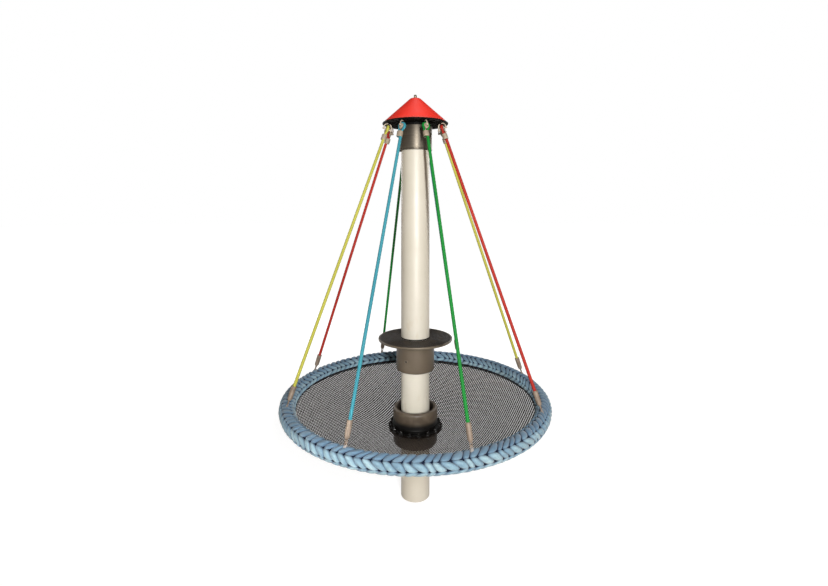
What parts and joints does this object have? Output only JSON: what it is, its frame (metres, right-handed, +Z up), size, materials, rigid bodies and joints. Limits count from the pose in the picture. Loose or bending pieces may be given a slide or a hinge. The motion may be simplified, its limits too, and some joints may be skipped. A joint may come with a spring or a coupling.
{
  "type": "net carousel",
  "caption": "Playground carousel: a ring with a plaited cover and a sitting net, hung on ropes from a cap that turns on top of a fixed round mast.",
  "frame": {"origin": "centre of the mast's foot, at ground level", "axes": "+Z up along the mast, -Y towards the side that the picture shows"},
  "size_m": [1.556, 1.556, 2.373],
  "materials": {
    "post_paint": "satin cream paint",
    "head_steel": "machined steel",
    "foot_plate_black": "black moulded plate",
    "hub_metal": "dark satin cast metal",
    "screw_steel": "blackened steel",
    "sleeve_metal": "satin grey-brown",
    "seal_black": "matt black",
    "cap_black": "black coated casting",
    "cap_red": "semi-gloss red",
    "nut_steel": "satin steel",
    "shackle_steel": "satin steel",
    "ferrule_metal": "pressed, dull",
    "fitting_metal": "dull grey-brown",
    "rope_yellow": "laid fibre rope",
    "rope_blue": "laid fibre rope",
    "rope_green": "laid fibre rope",
    "rope_red": "laid fibre rope",
    "braid_blue": "plaited padded cover",
    "net_grey": "fine netting",
    "clamp_black": "black coated",
    "collar_brown": "dark moulded"
  },
  "bodies": {
    "mast": {"post": "post_paint", "post_head": "head_steel", "foot_plate": "foot_plate_black", "foot_plate_hub": "hub_metal", "set_screw": "screw_steel"},
    "rotor": {"bearing_sleeve": "sleeve_metal", "seal_ring": "seal_black", "cap_plate": "cap_black", "cap_cone": "cap_red", "cap_nut": "nut_steel", "top_shackle_1": "shackle_steel", "top_shackle_2": "shackle_steel", "top_shackle_3": "shackle_steel", "top_shackle_4": "shackle_steel", "top_shackle_5": "shackle_steel", "top_shackle_6": "shackle_steel", "top_shackle_7": "shackle_steel", "top_shackle_8": "shackle_steel", "rope_1": "rope_yellow", "rope_2": "rope_blue", "rope_3": "rope_green", "rope_4": "rope_red", "rope_5": "rope_yellow", "rope_6": "rope_blue", "rope_7": "rope_green", "rope_8": "rope_red", "top_ferrule_1": "ferrule_metal", "top_ferrule_2": "ferrule_metal", "top_ferrule_3": "ferrule_metal", "top_ferrule_4": "ferrule_metal", "top_ferrule_5": "ferrule_metal", "top_ferrule_6": "ferrule_metal", "top_ferrule_7": "ferrule_metal", "top_ferrule_8": "ferrule_metal", "end_fitting_1": "fitting_metal", "end_fitting_2": "fitting_metal", "end_fitting_3": "fitting_metal", "end_fitting_4": "fitting_metal", "end_fitting_5": "fitting_metal", "end_fitting_6": "fitting_metal", "end_fitting_7": "fitting_metal", "end_fitting_8": "fitting_metal", "ring_braid": "braid_blue", "net": "net_grey", "clamp_ring": "clamp_black", "collar_upper": "collar_brown", "collar_lower": "collar_brown"}
  },
  "joints": [
    {"name": "rotor_turn", "type": "hinge", "parent": "mast", "child": "rotor", "pos_m": [0, 0, 2.16], "axis": [0, 0, 1], "continuous": true}
  ]
}
